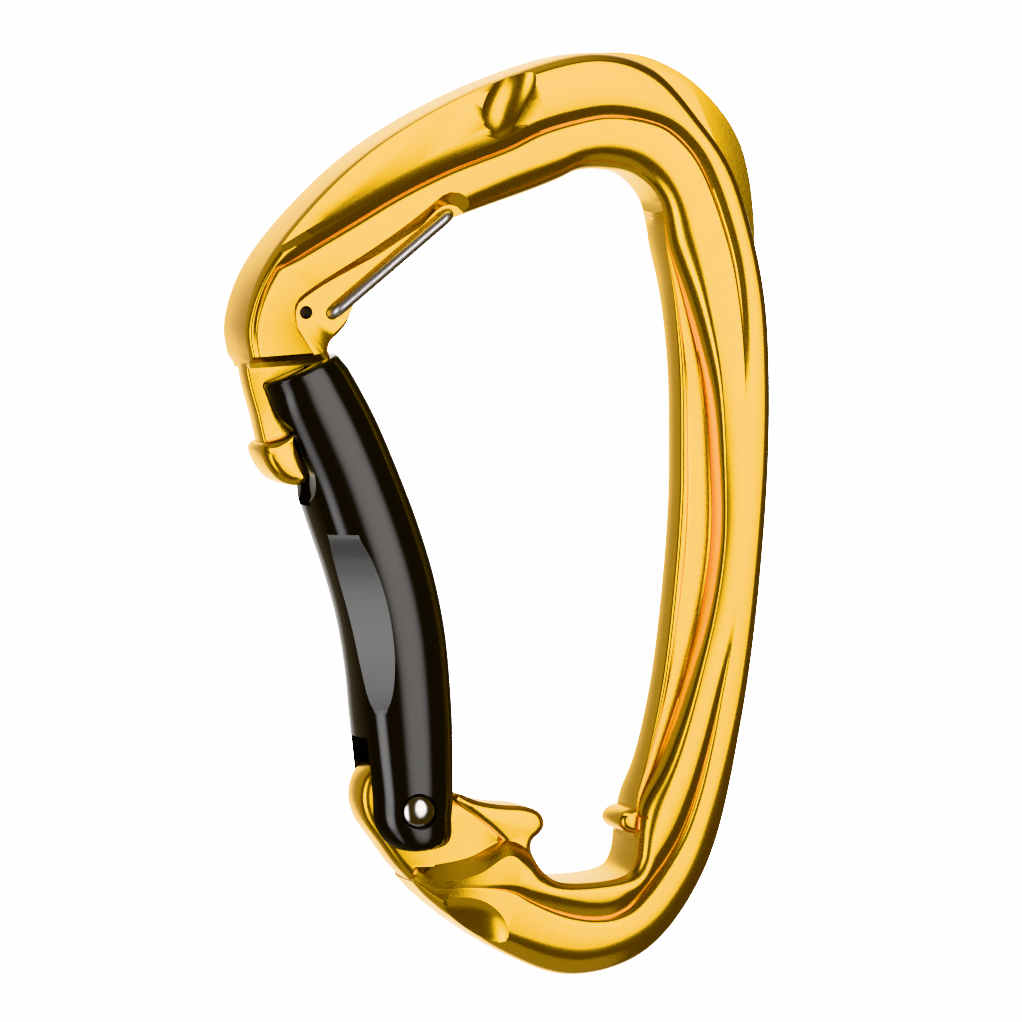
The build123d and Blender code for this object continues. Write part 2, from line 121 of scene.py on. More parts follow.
def through(points, step=0.3):
    """A smooth curve through the points (x, z), as points about a step apart."""
    p = np.array(points, float)
    p = np.vstack([2 * p[0] - p[1], p, 2 * p[-1] - p[-2]])
    out = []
    for a, b, c, d in zip(p[:-3], p[1:-2], p[2:-1], p[3:]):
        k1 = math.sqrt(np.linalg.norm(b - a))
        k2 = k1 + math.sqrt(np.linalg.norm(c - b))
        k3 = k2 + math.sqrt(np.linalg.norm(d - c))
        for t in np.linspace(k1, k2, max(2, int(np.linalg.norm(c - b) / step)), endpoint=False):
            a1 = a * (k1 - t) / k1 + b * t / k1
            a2 = b * (k2 - t) / (k2 - k1) + c * (t - k1) / (k2 - k1)
            a3 = c * (k3 - t) / (k3 - k2) + d * (t - k2) / (k3 - k2)
            b1 = a1 * (k2 - t) / k2 + a2 * t / k2
            b2 = a2 * (k3 - t) / (k3 - k1) + a3 * (t - k1) / (k3 - k1)
            out.append(b1 * (k2 - t) / (k2 - k1) + b2 * (t - k1) / (k2 - k1))
    out.append(p[-2])
    return np.array(out)


def evenly(line, n):
    """The curve again as n points at even steps along it."""
    d = np.concatenate([[0], np.cumsum(np.linalg.norm(np.diff(line, axis=0), axis=1))])
    return np.stack([np.interp(np.linspace(0, d[-1], n), d, line[:, i]) for i in (0, 1)], axis=1)


def solid(name, rings):
    """A closed object through rings of (x, y, z) points in mm, all with the same number of points."""
    n = len(rings[0])
    verts = [[v / 1000 for v in p] for ring in rings for p in ring]
    faces = [tuple(range(n)), tuple(range(len(verts) - 1, len(verts) - n - 1, -1))]
    for r in range(len(rings) - 1):
        faces += [
            (r * n + i, r * n + (i + 1) % n, (r + 1) * n + (i + 1) % n, (r + 1) * n + i) for i in range(n)
        ]
    mesh = bpy.data.meshes.new(name)
    mesh.from_pydata(verts, [], faces)
    shape = bmesh.new()
    shape.from_mesh(mesh)
    bmesh.ops.remove_doubles(shape, verts=shape.verts, dist=0.000004)
    bmesh.ops.dissolve_degenerate(shape, dist=0.000002, edges=shape.edges)
    bmesh.ops.recalc_face_normals(shape, faces=shape.faces)
    shape.to_mesh(mesh)
    shape.free()
    made = bpy.data.objects.new(name, mesh)
    bpy.context.scene.collection.objects.link(made)
    return made


def work(piece, tool, operation="DIFFERENCE"):
    """Cuts the tool out of the piece, or joins it on, and then takes the tool away."""
    step = piece.modifiers.new("work", "BOOLEAN")
    step.operation = operation
    step.object = tool
    step.solver = "EXACT"
    done = bpy.data.meshes.new_from_object(piece.evaluated_get(bpy.context.evaluated_depsgraph_get()))
    piece.modifiers.remove(step)
    old = piece.data
    piece.data = done
    bpy.data.meshes.remove(old)
    bpy.data.objects.remove(tool)


def mirrored(piece, material, sharp):
    """Trims the front half at the middle plane, adds the back half, and shades it, sharp edges kept."""
    shape = bmesh.new()
    shape.from_mesh(piece.data)
    everything = shape.verts[:] + shape.edges[:] + shape.faces[:]
    bmesh.ops.bisect_plane(shape, geom=everything, dist=0.000001, plane_co=(0, 0, 0), plane_no=(0, 1, 0),
                           clear_outer=True)
    back = bmesh.ops.duplicate(shape, geom=shape.verts[:] + shape.edges[:] + shape.faces[:])["geom"]
    for v in back:
        if isinstance(v, bmesh.types.BMVert):
            v.co.y = -v.co.y
    bmesh.ops.reverse_faces(shape, faces=[f for f in back if isinstance(f, bmesh.types.BMFace)])
    bmesh.ops.remove_doubles(shape, verts=shape.verts, dist=0.000002)
    bmesh.ops.dissolve_degenerate(shape, dist=0.000001, edges=shape.edges)
    bmesh.ops.recalc_face_normals(shape, faces=shape.faces)
    shape.to_mesh(piece.data)
    shape.free()
    piece.data.materials.clear()
    piece.data.materials.append(material)
    piece.data.shade_smooth()
    piece.data.set_sharp_from_angle(angle=math.radians(sharp))
    piece.data.name = piece.name


def inset(outline, distance):
    """The outline moved inwards by the distance, or less where it turns too tightly for that."""
    p = np.array(outline + outline[:1], float)
    p = evenly(p, int(np.linalg.norm(np.diff(p, axis=0), axis=1).sum() / 0.3))[:-1]
    area = 0.5 * np.sum(p[:, 0] * np.roll(p[:, 1], -1) - np.roll(p[:, 0], -1) * p[:, 1])
    p = p if area > 0 else p[::-1]
    ahead, behind = np.roll(p, -1, axis=0) - p, p - np.roll(p, 1, axis=0)
    long_a, long_b = np.linalg.norm(ahead, axis=1), np.linalg.norm(behind, axis=1)
    turn = np.arcsin(
        np.clip((behind[:, 0] * ahead[:, 1] - behind[:, 1] * ahead[:, 0]) / (long_a * long_b), -1, 1)
    )
    room = np.where(turn > 0.02, 0.5 * (long_a + long_b) / np.maximum(turn, 0.02), 99)
    room = np.minimum.reduce([np.roll(room, k) for k in range(-3, 4)])
    depth = np.minimum(distance, np.maximum(0.75 * room, 0.12 * distance))
    depth = np.mean([np.roll(depth, k) for k in range(-3, 4)], axis=0)
    along = ahead / long_a[:, None] + behind / long_b[:, None]
    inward = np.stack([-along[:, 1], along[:, 0]], axis=1) / np.linalg.norm(along, axis=1)[:, None]
    return (p + inward * depth[:, None]).tolist()


def plate_rings(outline, half, rim, steps=4):
    """Rings of a half plate, from just behind the middle plane to its face, with the rim rounded over."""
    rings = [[(x, 0.7, z) for x, z in inset(outline, 0)]]
    for a in np.linspace(0, 0.5 * math.pi, steps + 1):
        rings.append(
            [
                (x, -(half - rim + rim * math.sin(a)), z) for x,
                z in inset(outline, rim * (1 - math.cos(a)))
            ]
        )
    return rings


def oval(x, z, wide, tall, count):
    """An oval outline about the centre (x, z), from its half sizes."""
    turn = np.linspace(0, 2 * math.pi, count, endpoint=False)
    return [(x + wide * math.cos(a), z + tall * math.sin(a)) for a in turn]


def prism(outline, near, far):
    """The outline as a straight-sided die between two heights in y."""
    return [[(x, y, z) for x, z in outline] for y in (near, far)]


def hollow(centre, radii, turn):
    """Rings of a rounded die, from its deepest point outwards, turned by some degrees in the bar's plane."""
    cos_t, sin_t = math.cos(math.radians(turn)), math.sin(math.radians(turn))
    rings = []
    for k in range(1, 20):
        b = math.pi * k / 20
        ring = []
        for a in np.linspace(0, 2 * math.pi, 60, endpoint=False):
            u = radii[0] * math.sin(b) * math.copysign(abs(math.cos(a)) ** 0.85, math.cos(a))
            v = radii[2] * math.sin(b) * math.copysign(abs(math.sin(a)) ** 0.85, math.sin(a))
            ring.append(
                (
                    centre[0] + u * cos_t - v * sin_t, centre[1] + radii[1] * math.cos(b),
                    centre[2] + u * sin_t + v * cos_t
                )
            )
        rings.append(ring)
    return rings


count = 560
rows = np.array(stations)
guide = through(rows[:, :2], 0.1)
travel = np.concatenate([[0], np.cumsum(np.linalg.norm(np.diff(guide, axis=0), axis=1))])
knots = np.array([travel[np.argmin(np.linalg.norm(guide - r[:2], axis=1))] for r in rows])
s = np.linspace(0, travel[-1], count)
middle = np.stack([np.interp(s, travel, guide[:, i]) for i in (0, 1)], axis=1)
blur = int(count / 44)
keyed = np.stack(
    [
        np.convolve(
            np.pad(np.interp(s, knots, column), blur, "edge"), np.ones(2 * blur + 1), "valid"
        ) for column in rows[:, 2:].T
    ],
    axis=1
) / (2 * blur + 1)
ahead = np.gradient(middle, axis=0)
reach_over = int(count / 20)
ahead = np.stack([np.convolve(np.pad(ahead[:, i], reach_over, "edge"), np.ones(2 * reach_over + 1), "valid")
                  for i in (0, 1)], axis=1)
ahead = ahead / np.linalg.norm(ahead, axis=1)[:, None]
outward = np.stack([-ahead[:, 1], ahead[:, 0]], axis=1)


def reach(points, near):
    """How far from the middle line, along each station's cross direction, the curve lies."""
    line = through(points)
    found = []
    for g, n in zip(middle, outward):
        a, b = line[:-1] - g, line[1:] - g
        side_a, side_b = a[:, 0] * n[1] - a[:, 1] * n[0], b[:, 0] * n[1] - b[:, 1] * n[0]
        hit = np.nonzero((side_a * side_b <= 0) & (np.abs(side_a - side_b) > 1e-9))[0]
        t = [float((a[i] + (b[i] - a[i]) * side_a[i] / (side_a[i] - side_b[i])) @ n) for i in hit]
        t = [v for v in t if abs(v) < 14]
        found.append(min(t, key=lambda v: abs(v - near)) if t else np.nan)
    found = np.array(found)
    good = ~np.isnan(found)
    return np.interp(np.arange(len(found)), np.nonzero(good)[0], found[good])


t_wall, t_edge, t_crease = reach(outer_wall, 5), reach(outer_edge, 4), reach(crease, 1)
t_in, t_bore = reach(inner_edge, -3), reach(inner_wall, -5)
out_half, face_out, face_in, drop_top, drop_low, in_half, lip, sink, bank = keyed.T
t_edge = np.minimum(t_edge, t_wall - 0.3)
t_crease = np.minimum(t_crease, t_edge - 0.5)
t_in = np.minimum(t_in, t_crease - 0.6)
t_bore = np.minimum(t_bore, t_in - 0.4)
lines = [(t_wall, 0 * t_wall - 0.5)]
for k in range(7):
    a = 0.5 * math.pi * k / 6
    lines.append((t_edge + (t_wall - t_edge) * math.cos(a), out_half + (face_out - out_half) * math.sin(a)))
drop = drop_top + drop_low
room_out = np.minimum(0.4 + 1.8 * drop, 0.8 * (t_edge - t_crease))
room_in = np.minimum(0.4 + 1.8 * drop, 0.8 * (t_crease - t_in))
for f in (1.0, 0.8, 0.6, 0.4, 0.22, 0.1):
    dip = drop_top * (1 - f) ** 1.25 + drop_low * 0.75 * (1 - f) ** 9
    lines.append((t_crease + f * room_out, face_out - dip))
lines.append((t_crease, np.minimum(face_out, face_in) - 0.62 * drop))
for f in (0.1, 0.22, 0.4, 0.6, 0.8, 1.0):
    dip = drop_low * (1 - f) ** 1.4 + drop_top * 0.75 * (1 - f) ** 9
    lines.append((t_crease - f * room_in, face_in - dip))
face_low = face_in - sink
wide = t_in - t_bore
for k in range(9):
    a = 0.5 * math.pi * k / 8
    out = math.sin(a) * (1 - bank) + bank * k / 8
    up = math.cos(a) * (1 - bank) + bank * (1 - k / 8)
    lines.append((t_in - wide * (1 - lip) * out, in_half + (face_low - in_half) * up))
ledge = lip * wide
firm = np.clip(ledge / 1.5, 0, 1)
for f, dip in ((0.05, 0.16), (0.10, 0.0), (0.66, 0.0), (0.72, 0.14), (0.78, 0.0)):
    lines.append((t_bore + ledge * (1 - f), in_half - dip * firm))
lip_round = np.minimum(0.45, 0.2 * ledge)
for k in range(7):
    a = 0.5 * math.pi * k / 6
    lines.append((t_bore + lip_round * (1 - math.sin(a)), in_half - lip_round * (1 - math.cos(a))))
lines.append((t_bore, 0 * t_bore - 0.5))
half_bar = []
for t, h in lines:
    across = middle + outward * np.reshape(t, (-1, 1))
    half_bar.append(np.stack([across[:, 0], -h + 0 * t, across[:, 1]], axis=1))
half_bar = np.array(half_bar)
nose_end = []
for thick, dx, dz in ((1.5, 0.45, -1.30), (2.9, 0.42, -1.25), (3.0, 0.22, -0.70)):
    ring = half_bar[:, 0].copy()
    ring[:, 1] = np.maximum(ring[:, 1], -thick)
    nose_end.append((ring + np.array([dx, 0, dz])).tolist())
body = solid("frame_forging", nose_end + half_bar.transpose(1, 0, 2).tolist())

# Pocket stamped along the outside of the top arm: a tilted floor and a bank that ends in a scoop
floor_line = through(
    [
        (-46.0, -12.2), (-41.6, -9.75), (-36.4, -6.8), (-30.8, -3.6), (-25.2, -0.5), (-19.6, 2.2),
        (-15.6, 3.9)
    ],
    1.0
).tolist()
floor_line += through(
    [(-14.6, 4.3), (-13.5, 5.2), (-12.7, 6.4), (-12.5, 7.6), (-12.9, 8.7), (-13.9, 9.7), (-15.4, 12.0)],
    0.4
).tolist()
wall_line = through(
    [
        (-46.0, -13.4), (-41.8, -10.7), (-36.4, -7.8), (-30.9, -4.9), (-25.3, -2.0), (-19.7, 0.6),
        (-14.4, 2.7)
    ],
    1.0
).tolist()
wall_line += through(
    [(-12.7, 3.4), (-11.1, 4.4), (-9.9, 5.8), (-9.4, 7.3), (-9.8, 8.9), (-11.0, 10.6), (-12.6, 13.0)], 0.4
).tolist()
floor_line = evenly(np.array(floor_line), 70).tolist() + [(-46.0, 10.0)]
wall_line = evenly(np.array(wall_line), 70).tolist() + [(-46.0, 12.0)]
low = [(x, -(4.4 - 0.075 * (-0.457 * (x + 36.4) + 0.89 * (z + 6.8))), z) for x, z in floor_line]
work(body, solid("tool", [low, [(x, -5.03, z) for x, z in wall_line], [(x, -7, z) for x, z in wall_line]]))
dimple = hollow((-13.4, -5.9, 7.6), (3.0, 2.2, 5.2), -28)
work(body, solid("tool", dimple))

# Pocket at the nose that the prop wire lies in, and the two cross holes
floor_line = through(
    [
        (-36.1, -16.6), (-36.3, -15.4), (-36.15, -14.2), (-35.2, -13.4), (-33.0, -12.0), (-29.9, -10.4),
        (-26.8, -8.8), (-24.4, -7.3), (-22.2, -5.9), (-20.7, -4.4), (-19.4, -3.7), (-18.2, -4.0),
        (-17.0, -5.4)
    ],
    0.5
).tolist()
floor_line += [(-19.0, -14.0), (-27.0, -21.5), (-33.0, -21.5)]
wall_line = through(
    [
        (-36.8, -17.0), (-37.05, -15.4), (-36.95, -13.9), (-36.2, -13.0), (-33.4, -11.2), (-30.3, -9.4),
        (-27.2, -7.5), (-24.1, -5.4), (-21.6, -3.5), (-20.1, -2.4), (-18.8, -2.2), (-17.5, -2.8),
        (-15.6, -4.6)
    ],
    0.5
).tolist()
wall_line += [(-18.0, -13.0), (-27.0, -22.5), (-33.5, -22.5)]
floor_line = evenly(np.array(floor_line), 60)
wall_line = evenly(np.array(wall_line), 60)
rings = [[(x, -h, z) for x, z in (floor_line * (1 - f) + wall_line * f).tolist()]
         for f, h in ((0.0, 3.25), (0.5, 4.0), (0.8, 4.4), (1.0, 4.72), (1.0, 7.0))]
work(body, solid("tool", rings))
hinge_x, hinge_z, spare_x, spare_z = -32.3, -15.1, -35.2, -15.0
hole_radius = 0.72
for x, z in ((hinge_x, hinge_z), (spare_x, spare_z)):
    work(body, solid("tool", prism(oval(x, z, hole_radius, hole_radius, 24), -8, 1)))

# Scoop under the tang: a bowl pressed into the outside edge
work(body, solid("tool", hollow((-20.3, -5.6, -83.6), (8.0, 2.8, 6.6), 0)))

# Tang that the gate turns on, and the horn beside it, standing a little prouder
tang = through(
    [
        (-13.0, -70.5), (-15.8, -68.4), (-18.3, -67.2), (-18.9, -65.4), (-19.8, -64.6), (-23.4, -64.3),
        (-25.2, -63.6), (-27.0, -63.3), (-28.4, -64.6), (-29.0, -66.8), (-28.5, -69.2), (-26.6, -72.0),
        (-24.4, -74.9), (-21.6, -77.4), (-18.0, -79.0)
    ],
    0.35
)
work(body, solid("tool", plate_rings(tang.tolist() + [(-12.0, -77.0)], 2.6, 1.0)), "UNION")
horn = through(
    [
        (-9.6, -76.2), (-8.7, -75.6), (-9.2, -74.3), (-9.6, -73.2), (-9.4, -72.3), (-8.7, -71.7),
        (-8.1, -70.9), (-8.2, -69.9), (-8.9, -69.1), (-10.6, -68.55), (-13.1, -68.3), (-15.6, -67.8),
        (-18.2, -66.9), (-18.6, -67.5), (-15.8, -69.8), (-14.0, -71.3), (-12.0, -73.5), (-10.4, -75.6)
    ],
    0.3
)[:-2]
work(body, solid("tool", plate_rings(horn.tolist(), 3.0, 0.8, 5)), "UNION")

# Thin fin outside the rope end, then the tongue and head that hook into the gate
fin = through(
    [
        (-7.0, 11.0), (-3.0, 12.35), (0.5, 12.55), (4.2, 12.1), (9.1, 9.8), (13.3, 5.8), (15.2, 2.6),
        (16.2, -0.9), (16.75, -5.0), (16.95, -9.0), (17.1, -14.0)
    ],
    0.5
)
fin = fin.tolist() + [(14.1, -14.3), (10.2, -1.0), (3.1, 6.2), (-2.3, 8.9)]
work(body, solid("tool", plate_rings(fin, 1.2, 0.12, 2)), "UNION")
tongue = through(
    [(-41.5, -17.6), (-41.4, -20.6), (-41.0, -22.8), (-40.1, -26.0), (-39.3, -29.3), (-38.8, -30.4)], 0.5
).tolist()
tongue += through(
    [(-36.4, -30.4), (-36.2, -27.6), (-35.4, -24.0), (-34.6, -21.9), (-32.8, -20.6), (-32.2, -18.0)], 0.5
).tolist()
work(body, solid("tool", plate_rings(tongue, 1.6, 0.35)), "UNION")
head = through(
    [
        (-36.6, -27.9), (-38.1, -28.35), (-39.6, -28.8), (-39.95, -29.3), (-39.7, -30.4), (-38.9, -31.8),
        (-37.9, -32.8), (-36.7, -33.3), (-35.7, -33.3), (-35.1, -32.9), (-34.95, -32.2), (-35.4, -30.9),
        (-36.0, -29.3)
    ],
    0.25
)
work(body, solid("tool", plate_rings(head.tolist(), 3.3, 1.1, 6)), "UNION")

# Small boss where the lip of the spine ends, with a ledge over it
work(body, solid("tool", plate_rings(oval(2.5, -70.7, 2.0, 1.4, 36), 3.1, 0.7, 5)), "UNION")
ledge_cut = [(0.9, -69.75), (3.2, -70.05), (3.2, -70.3), (0.9, -70.0)]
upright_cut = [(2.3, -69.9), (2.55, -69.9), (2.35, -72.4), (2.1, -72.4)]
for slit in (ledge_cut, upright_cut):
    work(body, solid("tool", prism(slit, -8, -2.75)))

gold = bpy.data.materials.new("gold_anodised")
gold.use_nodes = True
nodes, links = gold.node_tree.nodes, gold.node_tree.links
shader = nodes["Principled BSDF"]
shader.inputs["Metallic"].default_value = 1.0
place = nodes.new("ShaderNodeTexCoord")
cloud = nodes.new("ShaderNodeTexNoise")
cloud.inputs["Scale"].default_value = 90
cloud.inputs["Detail"].default_value = 3
links.new(place.outputs["Object"], cloud.inputs["Vector"])
dye = nodes.new("ShaderNodeMix")
dye.data_type = "RGBA"
dye.inputs["A"].default_value = (0.91, 0.545, 0.045, 1)
dye.inputs["B"].default_value = (0.97, 0.605, 0.060, 1)
links.new(cloud.outputs["Fac"], dye.inputs["Factor"])
links.new(dye.outputs["Result"], shader.inputs["Base Color"])
grain = nodes.new("ShaderNodeTexNoise")
grain.inputs["Scale"].default_value = 5200
grain.inputs["Detail"].default_value = 2
links.new(place.outputs["Object"], grain.inputs["Vector"])
satin = nodes.new("ShaderNodeMapRange")
satin.inputs["From Min"].default_value = 0.3
satin.inputs["From Max"].default_value = 0.7
satin.inputs["To Min"].default_value = 0.17
satin.inputs["To Max"].default_value = 0.25
links.new(grain.outputs["Fac"], satin.inputs["Value"])
links.new(satin.outputs["Result"], shader.inputs["Roughness"])
bump = nodes.new("ShaderNodeBump")
bump.inputs["Strength"].default_value = 0.25
bump.inputs["Distance"].default_value = 0.00001
links.new(grain.outputs["Fac"], bump.inputs["Height"])
links.new(bump.outputs["Normal"], shader.inputs["Normal"])

mirrored(body, gold, 30)
# The walls of the two cross holes get a near-black gold: painted shade standing for the shadow inside the
# narrow bores.
hole_shade_paint = bpy.data.materials.new("gold_painted_hole_shade")
hole_shade_paint.use_nodes = True
shader = hole_shade_paint.node_tree.nodes["Principled BSDF"]
shader.inputs["Base Color"].default_value = (0.10, 0.045, 0.006, 1)
shader.inputs["Metallic"].default_value = 1.0
shader.inputs["Roughness"].default_value = 0.5
body.data.materials.append(hole_shade_paint)
# Faces on the bore walls of either hole take the painted shade.
for face in body.data.polygons:
    x, z = face.center.x * 1000, face.center.z * 1000
    off_axis = min(math.hypot(x - hinge_x, z - hinge_z), math.hypot(x - spare_x, z - spare_z))
    if off_axis < hole_radius + 0.02 and abs(face.normal.y) < 0.5:
        face.material_index = 1
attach(body, "frame")
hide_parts("frame")


# ---- Gate ----
# A bent aluminium bar, milled and then anodised black, slotted for the nose at the top and for the tang at
# the foot, and bored for its spring. It turns on the rivet, and each side has a flat for the finger.
pivot_x, pivot_z = -23.1, -68.4
bore_x = -21.8
left = evenly(
    through(
        [
            (-39.6, -22.6), (-38.7, -25.8), (-37.2, -29.3), (-35.2, -33.8), (-33.5, -38.6),
            (-31.9, -43.2), (-30.5, -48.2), (-29.6, -53.4), (-29.1, -58.5), (-28.6, -63.0),
            (-28.15, -67.0), (-28.1, -68.6)
        ]
    ),
    90
)
right = evenly(
    through(
        [
            (-30.9, -19.3), (-29.0, -22.4), (-26.9, -26.2), (-24.4, -31.8), (-22.2, -37.3),
            (-20.3, -43.2), (-19.0, -49.4), (-18.4, -55.4), (-18.15, -60.2), (-18.1, -64.8),
            (-18.15, -68.0), (-18.3, -69.6)
        ]
    ),
    90
)
foot_left = evenly(
    through([(-28.1, -68.6), (-27.9, -69.9), (-26.9, -71.4), (-25.6, -72.4), (-24.6, -72.7)]), 12
)
foot_right = evenly(
    through([(-18.3, -69.6), (-18.3, -71.3), (-18.7, -72.2), (-19.6, -72.6), (-21.4, -72.7)]), 12
)
left, right = np.vstack([left, foot_left[1:]]), np.vstack([right, foot_right[1:]])
section = []
for a in np.linspace(0, math.pi, 57):
    c, e = math.cos(a), math.sin(a)
    section.append((-math.copysign(abs(c) ** 0.8, c), -4.9 * abs(e) ** 0.8))
section = [(-1.0, 0.5)] + section + [(1.0, 0.5)]
rings = []
for k, (p, q) in enumerate(zip(left, right)):
    centre, half = (p + q) / 2, (q - p) / 2
    flat = 1 - 0.1 * (max(0, k - 89) / 11) ** 3
    rings.append(
        [(centre[0] + half[0] * u, y * flat if y < 0 else y, centre[1] + half[1] * u) for u, y in section]
    )
crown = []
for a in (0, 20, 40, 60, 80):
    shrink = 0.9 + 0.1 * math.sin(math.radians(a))
    centre, half = (left[0] + right[0]) / 2, (right[0] - left[0]) / 2
    lift = 0.55 * (math.cos(math.radians(a)))
    crown.append([(centre[0] + half[0] * u * shrink - 0.38 * lift, y * shrink if y < 0 else y,
                   centre[1] + half[1] * u * shrink + 0.92 * lift - 0.5) for u, y in section])
rings = crown + rings[3:]
gate = solid("gate_bar", rings)
nose_slot = [(-45.0, -15.0), (-32.4, -15.0), (-34.2, -23.5), (-34.0, -28.0), (-33.6, -35.6), (-45.0, -35.6)]
work(gate, solid("tool", prism(nose_slot, -1.9, 2)))
relief = [(-45.0, -22.0)] + through(
    [
        (-40.4, -22.0), (-39.4, -23.0), (-38.7, -24.6), (-37.8, -26.3), (-36.6, -27.5), (-35.9, -28.6),
        (-35.3, -30.2), (-34.5, -32.0), (-34.2, -33.8), (-34.4, -35.0), (-35.2, -35.8)
    ],
    0.3
).tolist() + [(-45.0, -35.8)]
work(gate, solid("tool", prism(relief, -9, 2)))
tang_slot = [(-40.0, -60.5), (-10.0, -60.5), (-10.0, -80.0), (-40.0, -80.0)]
work(gate, solid("tool", prism(tang_slot, -2.75, 2)))
bore = oval(bore_x, 0, 1.65, 1.65, 28)
work(gate, solid("tool", [[(x, y, z) for x, y in bore] for z in (-61.0, -49.0)]))
work(gate, solid("tool", prism(oval(pivot_x, pivot_z, 2.0, 2.0, 40), -4.35, -8)))
flat_right = through(
    [
        (-30.0, -37.4), (-29.9, -38.6), (-28.6, -41.3), (-27.4, -44.5), (-26.4, -48.8), (-26.0, -53.4),
        (-26.3, -57.5), (-27.3, -60.6), (-28.6, -63.0)
    ]
)
flat_slope, flat_top = 0.62, 4.7
rings = []
for z in np.linspace(-38.6, -62.6, 60):
    x = float(np.interp(-z, -flat_right[:, 1], flat_right[:, 0]))
    low, high = flat_top - 8 * flat_slope, flat_top + 1.2 * flat_slope
    rings.append([(x - 8, -low, z), (x + 1.2, -high, z), (x - 8, -11, z)])
work(gate, solid("tool", rings))

black = bpy.data.materials.new("black_anodised")
black.use_nodes = True
nodes, links = black.node_tree.nodes, black.node_tree.links
shader = nodes["Principled BSDF"]
shader.inputs["Base Color"].default_value = (0.008, 0.0075, 0.007, 1)
shader.inputs["IOR"].default_value = 1.65
place = nodes.new("ShaderNodeTexCoord")
cloud = nodes.new("ShaderNodeTexNoise")
cloud.inputs["Scale"].default_value = 3000
links.new(place.outputs["Object"], cloud.inputs["Vector"])
satin = nodes.new("ShaderNodeMapRange")
satin.inputs["To Min"].default_value = 0.09
satin.inputs["To Max"].default_value = 0.17
links.new(cloud.outputs["Fac"], satin.inputs["Value"])
links.new(satin.outputs["Result"], shader.inputs["Roughness"])

mirrored(gate, black, 14)
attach(gate, "gate")
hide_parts("gate")


# ---- Gate rivet ----
# A steel pin through both cheeks of the gate and the tang. Its two ends are headed over into polished domes,
# which sit in a shallow seat in each cheek.
steel = bpy.data.materials.new("polished_steel")
steel.use_nodes = True
shader = steel.node_tree.nodes["Principled BSDF"]
shader.inputs["Base Color"].default_value = (0.55, 0.55, 0.57, 1)
shader.inputs["Metallic"].default_value = 1.0
nodes, links = steel.node_tree.nodes, steel.node_tree.links
place = nodes.new("ShaderNodeTexCoord")
scuffs = nodes.new("ShaderNodeTexNoise")
scuffs.inputs["Scale"].default_value = 2600
scuffs.inputs["Detail"].default_value = 3
links.new(place.outputs["Object"], scuffs.inputs["Vector"])
sheen = nodes.new("ShaderNodeMapRange")
sheen.inputs["To Min"].default_value = 0.08
sheen.inputs["To Max"].default_value = 0.24
links.new(scuffs.outputs["Fac"], sheen.inputs["Value"])
links.new(sheen.outputs["Result"], shader.inputs["Roughness"])
dents = nodes.new("ShaderNodeBump")
dents.inputs["Strength"].default_value = 0.3
dents.inputs["Distance"].default_value = 0.00002
links.new(scuffs.outputs["Fac"], dents.inputs["Height"])
links.new(dents.outputs["Normal"], shader.inputs["Normal"])
profile = [
    (0.01, -5.1), (0.55, -5.08), (1.0, -5.0), (1.4, -4.85), (1.7, -4.66), (1.86, -4.48), (1.9, -4.36),
    (1.5, -4.34)
]
profile = profile + [(r, -y) for r, y in reversed(profile)]
rivet_rings = []
for r, y in profile:
    rivet_rings.append([(x, y, z) for x, z in oval(pivot_x, pivot_z, r, r, 40)])
rivet = solid("gate_rivet_pin", rivet_rings)
rivet.data.materials.append(steel)
rivet.data.shade_smooth()
rivet.data.set_sharp_from_angle(angle=math.radians(50))
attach(rivet, "gate")
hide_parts("gate_rivet")


# ---- Prop wire ----
# Spring steel wire bent to a long U over the nose. Its two ends turn in and hook into the cross hole, and its
# loop rests in the pocket until it is turned down to hold the gate open.
def wire_rings(path, radius, sides):
    """Rings of points round a path of (x, y, z) points in mm."""
    p = np.array(path, float)
    ahead = np.gradient(p, axis=0)
    ahead = ahead / np.linalg.norm(ahead, axis=1)[:, None]
    up = np.cross(ahead[0], (0.3, 0.5, 0.81))
    rings = []
    for q, d in zip(p, ahead):
        up = up - d * (up @ d)
        up = up / np.linalg.norm(up)
        side = np.cross(d, up)
        rings.append([tuple(q + radius * (math.cos(a) * up + math.sin(a) * side))
                      for a in np.linspace(0, 2 * math.pi, sides, endpoint=False)])
    return rings


end_gap, leg, tip_x, tip_z = 0.85, 4.02, -19.35, -4.7
corners = [(hinge_x, -end_gap, hinge_z), (hinge_x, -leg, hinge_z), (tip_x, -leg, tip_z),
           (tip_x, leg, tip_z), (hinge_x, leg, hinge_z), (hinge_x, end_gap, hinge_z)]
corners = [np.array(p) for p in corners]
path = [corners[0]]
for a, b, c in zip(corners[:-2], corners[1:-1], corners[2:]):
    u, v = (a - b) / np.linalg.norm(a - b), (c - b) / np.linalg.norm(c - b)
    path += [b + u * 1.1 * (1 - t) ** 2 + v * 1.1 * t ** 2 for t in np.linspace(0, 1, 9)]
path.append(corners[-1])
wire = solid("prop_wire_bail", wire_rings(path, 0.65, 20))
spring_steel = bpy.data.materials.new("spring_steel")
spring_steel.use_nodes = True
shader = spring_steel.node_tree.nodes["Principled BSDF"]
shader.inputs["Base Color"].default_value = (0.62, 0.62, 0.66, 1)
shader.inputs["Metallic"].default_value = 1.0
nodes, links = spring_steel.node_tree.nodes, spring_steel.node_tree.links
place = nodes.new("ShaderNodeTexCoord")
drawn = nodes.new("ShaderNodeTexNoise")
drawn.inputs["Scale"].default_value = 1800
drawn.inputs["Detail"].default_value = 4
links.new(place.outputs["Object"], drawn.inputs["Vector"])
sheen = nodes.new("ShaderNodeMapRange")
sheen.inputs["To Min"].default_value = 0.32
sheen.inputs["To Max"].default_value = 0.48
links.new(drawn.outputs["Fac"], sheen.inputs["Value"])
links.new(sheen.outputs["Result"], shader.inputs["Roughness"])
dents = nodes.new("ShaderNodeBump")
dents.inputs["Strength"].default_value = 0.3
dents.inputs["Distance"].default_value = 0.00002
